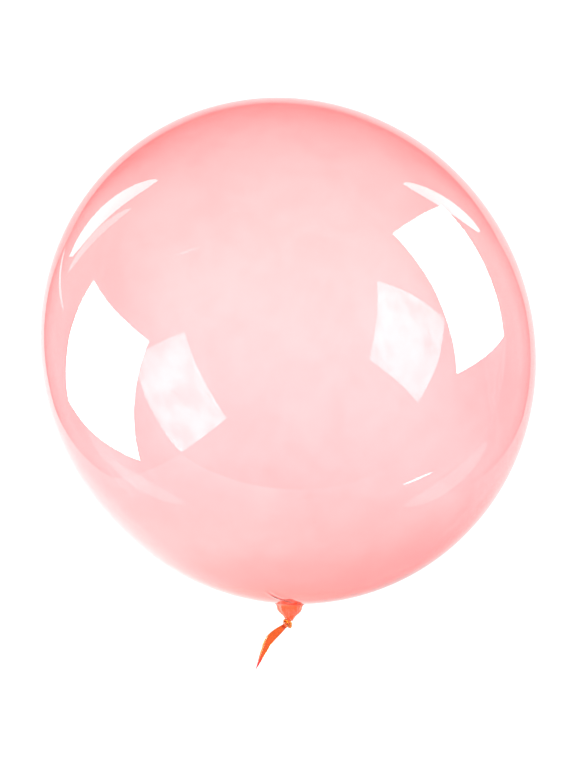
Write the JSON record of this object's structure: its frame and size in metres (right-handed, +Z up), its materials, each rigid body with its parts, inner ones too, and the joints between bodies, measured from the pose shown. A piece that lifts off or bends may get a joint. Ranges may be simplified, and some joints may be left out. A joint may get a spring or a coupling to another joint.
{
  "type": "clear bubble balloon",
  "caption": "Blown-up see-through pink bubble balloon of thin plastic film, lying on its side, its short neck tied off in a knot with a flat tail.",
  "frame": {"origin": "on the ground, straight below the middle of the bubble, inside the flat spot that the balloon lies on", "axes": "+Z up; -Y is the front, towards which the neck points, 45 degrees below the horizontal; +X is to the right as seen from the front"},
  "size_m": [0.4973, 0.4994, 0.497],
  "materials": {
    "tinted_film": "polished"
  },
  "bodies": {
    "root": {"balloon": "tinted_film"}
  },
  "joints": []
}
